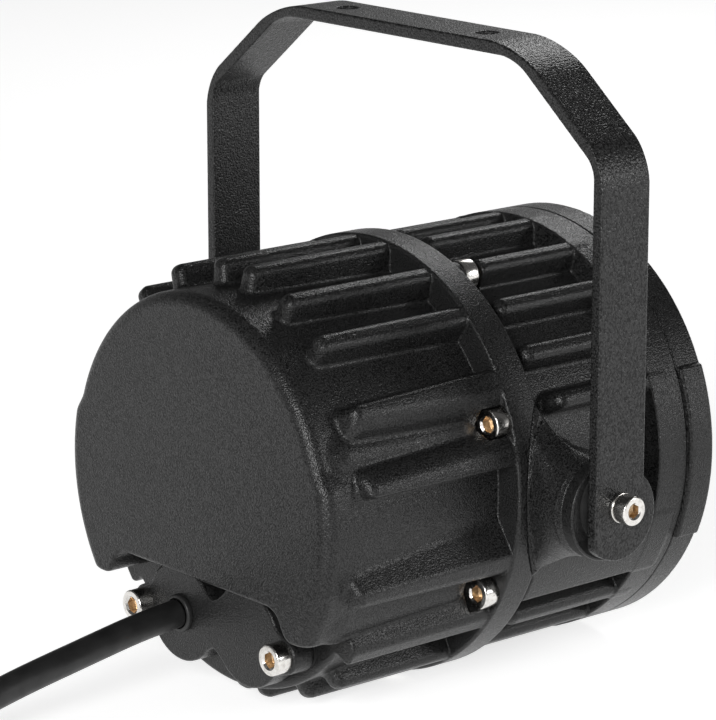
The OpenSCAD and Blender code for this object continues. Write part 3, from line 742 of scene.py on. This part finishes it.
def on_pivots(shape, x, z=0.0, y=0.0):
    """A shape at both pivots, facing outwards from a place beside each."""
    return merged([placed(shape, PIVOT + [side * x, y, z], (side, 0, 0)) for side in (-1, 1)])[:2]


add(
    "yoke_washers", *on_pivots(washer(SCREW_HOLE_R, 4.7, 1.2), YOKE_HI[0] + 0.05), [STEEL],
    replaces=["pivot_washers"], slot="stainless",
)


def grooved_spacer(radius, height, bore):
    """A turned disc with fine tool marks round its side and over its outer face."""
    side = []
    for i in range(12):
        start = 0.3 + i * (height - 1.1) / 12
        side += [(radius, start), (radius - 0.25, start + 0.2)]
    face = []
    for i in range(18):
        start = radius - 0.9 - i * 0.7
        face += [(start, height), (start - 0.35, height - 0.22)]
    return lathe([(radius - 0.3, 0), *side, *corner(radius - 0.6, height - 0.6, 0.6, 0, 90), *face,
                  (bore, height - 0.1), (bore, 0)], 96, ring=True)


add(
    "turned_spacers",
    *on_pivots(grooved_spacer(SPACER_R, SPACER_T, SCREW_HOLE_R), BOSS_X, BOSS_Z, BOSS_Y), [TURNED],
    replaces=["pivot_spacers"], slot="cast_black", smooth=180,
)


def reflector_shape():
    """A bowl with a parabolic inside, a thin wall and a flat rim, opening along +Z."""
    depth = 37.5
    throat, mouth = 13, 50
    inside = [(math.sqrt(throat**2 + (mouth**2 - throat**2) * i / 24), depth * i / 24) for i in range(25)]
    outside = [(r + 1.2, h - 0.3) for r, h in inside[1:-1]][::-1]
    return lathe([
        *inside, (56.5, depth), (56.7, depth - 0.6), (56.5, depth - 1.2), *outside, (throat + 1.2, 0)
    ], 96, ring=True)


add(
    "optic_reflector", *placed(reflector_shape(), PIVOT + [0, -17, 0], FRONT), [REFLECTOR],
    replaces=["reflector"], slot="reflector_metal", smooth=40,
)

# ------------------------------------------------------------------ cable, plug and tie


def turns(centre, stretches, steps=16):
    """Points of a coil; each stretch is (from angle, to angle, from radius, to radius, from z, to z)."""
    points = []
    for start, end, r0, r1, z0, z1 in stretches:
        count = max(2, round(steps * abs(end - start) / 360))
        for i in range(count):
            t = i / count
            ease = t * t * (3 - 2 * t)
            a = math.radians(start + (end - start) * t)
            r, z = r0 + (r1 - r0) * ease, z0 + (z1 - z0) * ease
            points.append((centre[0] + r * math.cos(a), centre[1] + r * math.sin(a), z))
    return points


CABLE_EXIT = (15.4, 72.25, 27)
CABLE_DOWN = [
    (15.4, 80, 26.3), (15.4, 90, 25.1), (15.4, 101, 23.3), (15.4, 112, 21.4), (15.4, 123, 19.5),
    (15.4, 133, 17.6), (15.5, 142, 15.6), (16.7, 151.3, 12.8), (20.5, 160.5, 9.8), (26.5, 168.4, 7.3),
    (34.4, 174.4, 6), (43.6, 178.2, 5.6),
]
COIL_CENTRE = (58, 238)
COIL_R = 54
STRAP_LIFT = 1.1  # how far the strap holds the coil off the floor
INNER_R, OUTER_R = COIL_R - CABLE_R, COIL_R + CABLE_R
LOW_Z, HIGH_Z = CABLE_R + STRAP_LIFT, 3 * CABLE_R + STRAP_LIFT
COIL_TURNS = [
    (-90, 155, OUTER_R, OUTER_R, LOW_Z, LOW_Z),
    (155, 265, OUTER_R, INNER_R, LOW_Z, LOW_Z),
    (265, 480, INNER_R, INNER_R, LOW_Z, LOW_Z),
    (480, 580, INNER_R, INNER_R, LOW_Z, HIGH_Z),
    (580, 790, INNER_R, INNER_R, HIGH_Z, HIGH_Z),
    (790, 895, INNER_R, OUTER_R, HIGH_Z, HIGH_Z),
    (895, 1170, OUTER_R, OUTER_R, HIGH_Z, HIGH_Z),
]
PLUG_Y, PLUG_R = COIL_CENTRE[1] + OUTER_R, 18.5
CABLE_TAIL = [
    (58, PLUG_Y, 14.6), (50, PLUG_Y, 14.8), (41, PLUG_Y, 15.8), (31, PLUG_Y, 17.6), (20, PLUG_Y, PLUG_R),
]


def make_cable():
    """The cable in one length: down to the floor, round the coil and up to the plug."""
    route = [CABLE_EXIT, *CABLE_DOWN, *turns(COIL_CENTRE, COIL_TURNS), *CABLE_TAIL]
    curve = bpy.data.curves.new("lamp_cable", "CURVE")
    curve.dimensions = "3D"
    curve.bevel_depth = CABLE_R * MM
    curve.bevel_resolution = 7
    curve.resolution_u = 6
    curve.use_fill_caps = True
    spline = curve.splines.new("BEZIER")
    spline.bezier_points.add(len(route) - 1)
    for knot, place in zip(spline.bezier_points, route):
        knot.co = Vector(place) * MM
        knot.handle_left_type = knot.handle_right_type = "AUTO"
    curve.materials.append(CABLE)
    cable = bpy.data.objects.new("lamp_cable", curve)
    bpy.context.collection.objects.link(cable)
    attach(cable, "lamp")
    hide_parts("power_cable", "cable_coil", "cable_tail")
    return cable


def plug_shape():
    """A moulded rubber plug: ribbed strain relief, sloping grip and a recessed round face."""
    ribs = []
    for i in range(6):
        start = 2 + i * 2.6
        r = 6.3 + i * 0.28
        ribs += [(r, start), (r + 0.5, start + 0.5), (r + 0.5, start + 1.3), (r, start + 1.8)]
    grip = []
    for i in range(5):
        start = 34.5 + i * 2.4
        grip += [(PLUG_R, start), (PLUG_R, start + 1.2), (17.9, start + 1.5), (17.9, start + 2.1)]
    return lathe([
        (CABLE_R + 0.1, 0), *corner(5.6, 0.8, 0.8, -90, 0, 3), *ribs, (8, 18),
        *corner(10.5, 19.5, 1.5, 225, 300, 3), (13.5, 20.5), (15.5, 24), (17, 28.5), (17.9, 32), (PLUG_R, 34),
        *grip, (PLUG_R, 50.8), *corner(17.3, 50.8, 1.2, 0, 90), (15.6, 52), (15.2, 51.6), (15.2, 50.4),
        (14.9, 50),
    ], 72)


def pin_shape():
    """A round contact pin with a sleeve near its root and a domed tip."""
    return lathe([(2.4, -4), (2.4, 8), (2.3, 8.3), (2.3, 17.4), *corner(0.9, 17.6, 1.4, 0, 90)], 32)


def band(x0, x1, z0, z1, width, radius, thickness, middle):
    """A strap round a bundle, as a closed loop with rounded corners."""
    loop = []
    for cx, cz, start in ((x1, z1, 0), (x0, z1, 90), (x0, z0, 180), (x1, z0, 270)):
        inward_x = cx - math.copysign(radius, cx - (x0 + x1) / 2)
        inward_z = cz - math.copysign(radius, cz - (z0 + z1) / 2)
        loop += [(inward_x, inward_z, math.radians(start + 90 * i / 6)) for i in range(7)]
    points = []
    for cx, cz, a in loop:
        for r, y in ((radius, -1), (radius, 1), (radius + thickness, 1), (radius + thickness, -1)):
            points.append((cx + r * math.cos(a), middle + y * width / 2, cz + r * math.sin(a)))
    faces = []
    count = len(loop)
    for i in range(count):
        for k in range(4):
            here, there = 4 * i, 4 * ((i + 1) % count)
            faces.append((here + k, there + k, there + (k + 1) % 4, here + (k + 1) % 4))
    return np.array(points), faces


cable = make_cable()
PLUG_AT = np.array([PLUG_HI[0], PLUG_Y, PLUG_R])
PLUG_L = 52
PIN_GAP = 19
TOWARD_PLUG = (-1, 0, 0)
STRAP_W, STRAP_T, STRAP_REACH = 12, 1.0, 9.1
plug = add(
    "mains_plug", *placed(plug_shape(), PLUG_AT, TOWARD_PLUG), [PLUG_RUBBER],
    replaces=["power_plug"], slot="plug_rubber", smooth=32,
)
pins = add(
    "contact_pins",
    *merged([
        placed(pin_shape(), PLUG_AT + [-PLUG_L, side * PIN_GAP / 2, 0], TOWARD_PLUG) for side in (-1, 1)
    ])[:2],
    [BRASS], replaces=["plug_pins"], slot="nickel_brass",
)
tie = add(
    "cable_strap",
    *band(
        COIL_CENTRE[0] - COIL_R - STRAP_REACH, COIL_CENTRE[0] - COIL_R + STRAP_REACH, STRAP_T, 19.2,
        STRAP_W, CABLE_R, STRAP_T, COIL_CENTRE[1],
    ),
    [STRAP], replaces=["coil_tie"], slot="hook_loop",
)


def grommet_shape():
    """A rubber grommet: a rounded flange that steps down to the cable, and a sleeve behind it."""
    flange = GROMMET_HI[1] - COVER_FACE_Y
    return lathe([
        (5.2, -20), (5.2, 0), *corner(5.6, 0.4, 0.4, -90, 0, 2), *corner(5.2, flange - 0.8, 0.8, 0, 90),
        (5.0, flange), (4.75, flange - 0.5), (4.7, flange - 2.5), (4.52, flange - 2.7), (4.52, -20),
    ], 64, ring=True)


add(
    "exit_grommet", *placed(grommet_shape(), PIVOT + [GROMMET_X, COVER_FACE_Y, GROMMET_Z], REAR), [RUBBER],
    replaces=["cable_grommet"], slot="black_rubber",
)

# ------------------------------------------------------------------ CAD nodes that stay

KEPT = {
    "housing_gasket": RUBBER, "glass_gasket": RUBBER, "gland_cover_gasket": RUBBER,
    "friction_washers": RUBBER, "front_glass": GLASS, "led_module": PHOSPHOR, "led_plate": ALUMINIUM,
    "driver_bracket": ZINC, "driver_bracket_screws": ZINC, "led_driver": WHITE_CASE,
    "terminal_block": IVORY, "led_leads": RED_SILICONE, "mains_leads": BROWN_SHEATH,
}
for kept in list(bpy.data.objects):
    material = KEPT.get(kept.get("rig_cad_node"))
    if material:
        if not kept.material_slots:
            kept.data.materials.append(None)
        for material_slot in kept.material_slots:
            material_slot.link = "OBJECT"
            material_slot.material = material

# ------------------------------------------------------------------ floor and light


def make_floor():
    """Pale paper that glows a little, so that it photographs as white."""
    mesh = bpy.data.meshes.new("floor")
    mesh.from_pydata([(-4, -4, 0), (4, -4, 0), (4, 4, 0), (-4, 4, 0)], [], [(0, 1, 2, 3)])
    floor = bpy.data.objects.new("floor", mesh)
    bpy.context.collection.objects.link(floor)
    paint = Paint(
        "floor_paper", (0.8, 0.8, 0.8), 0.9, Specular_IOR_Level=0.0,
        Emission_Color=(1, 1, 1, 1), Emission_Strength=0.7,
    )
    mesh.materials.append(paint.material)


def softbox(name, location, size, power, aim=(0, 0, 0.07)):
    """A rectangular area light turned towards the lamp; power in watts, the rest in metres."""
    light = bpy.data.objects.new(name, bpy.data.lights.new(name, "AREA"))
    light.data.shape, light.data.size, light.data.size_y = "RECTANGLE", *size
    light.data.energy = power
    light.location = location
    light.rotation_mode = "QUATERNION"
    light.rotation_quaternion = (Vector(aim) - Vector(location)).to_track_quat("-Z", "Y")
    bpy.context.collection.objects.link(light)


def make_light():
    """A white sweep: bright near the horizon and dim overhead, with soft boxes above."""
    world = bpy.data.worlds.new("world")
    bpy.context.scene.world = world
    world.use_nodes = True
    tree = world.node_tree
    node = tree.nodes.new
    up = node("ShaderNodeSeparateXYZ")
    tree.links.new(node("ShaderNodeTexCoord").outputs["Generated"], up.inputs["Vector"])
    fade = node("ShaderNodeMapRange")
    fade.interpolation_type = "SMOOTHSTEP"
    for socket, value in zip(("From Min", "From Max", "To Min", "To Max"), (0.05, 0.4, 0.45, 0.08)):
        fade.inputs[socket].default_value = value
    tree.links.new(up.outputs["Z"], fade.inputs["Value"])
    seen = node("ShaderNodeMix")
    tree.links.new(node("ShaderNodeLightPath").outputs["Is Camera Ray"], seen.inputs["Factor"])
    tree.links.new(fade.outputs["Result"], seen.inputs["A"])
    seen.inputs["B"].default_value = 1.0
    tree.links.new(seen.outputs["Result"], tree.nodes["Background"].inputs["Strength"])
    tree.nodes["Background"].inputs["Color"].default_value = (1, 1, 1, 1)
    softbox("key_softbox", (-0.8, 1.25, 0.6), (0.6, 0.6), 18)
    softbox("far_softbox", (0.7, -1.1, 1.0), (0.5, 0.5), 4)
    softbox("side_softbox", (-1.3, -1.0, 0.55), (0.5, 0.5), 7)
    bpy.context.scene.view_settings.view_transform = "Standard"


make_floor()
make_light()
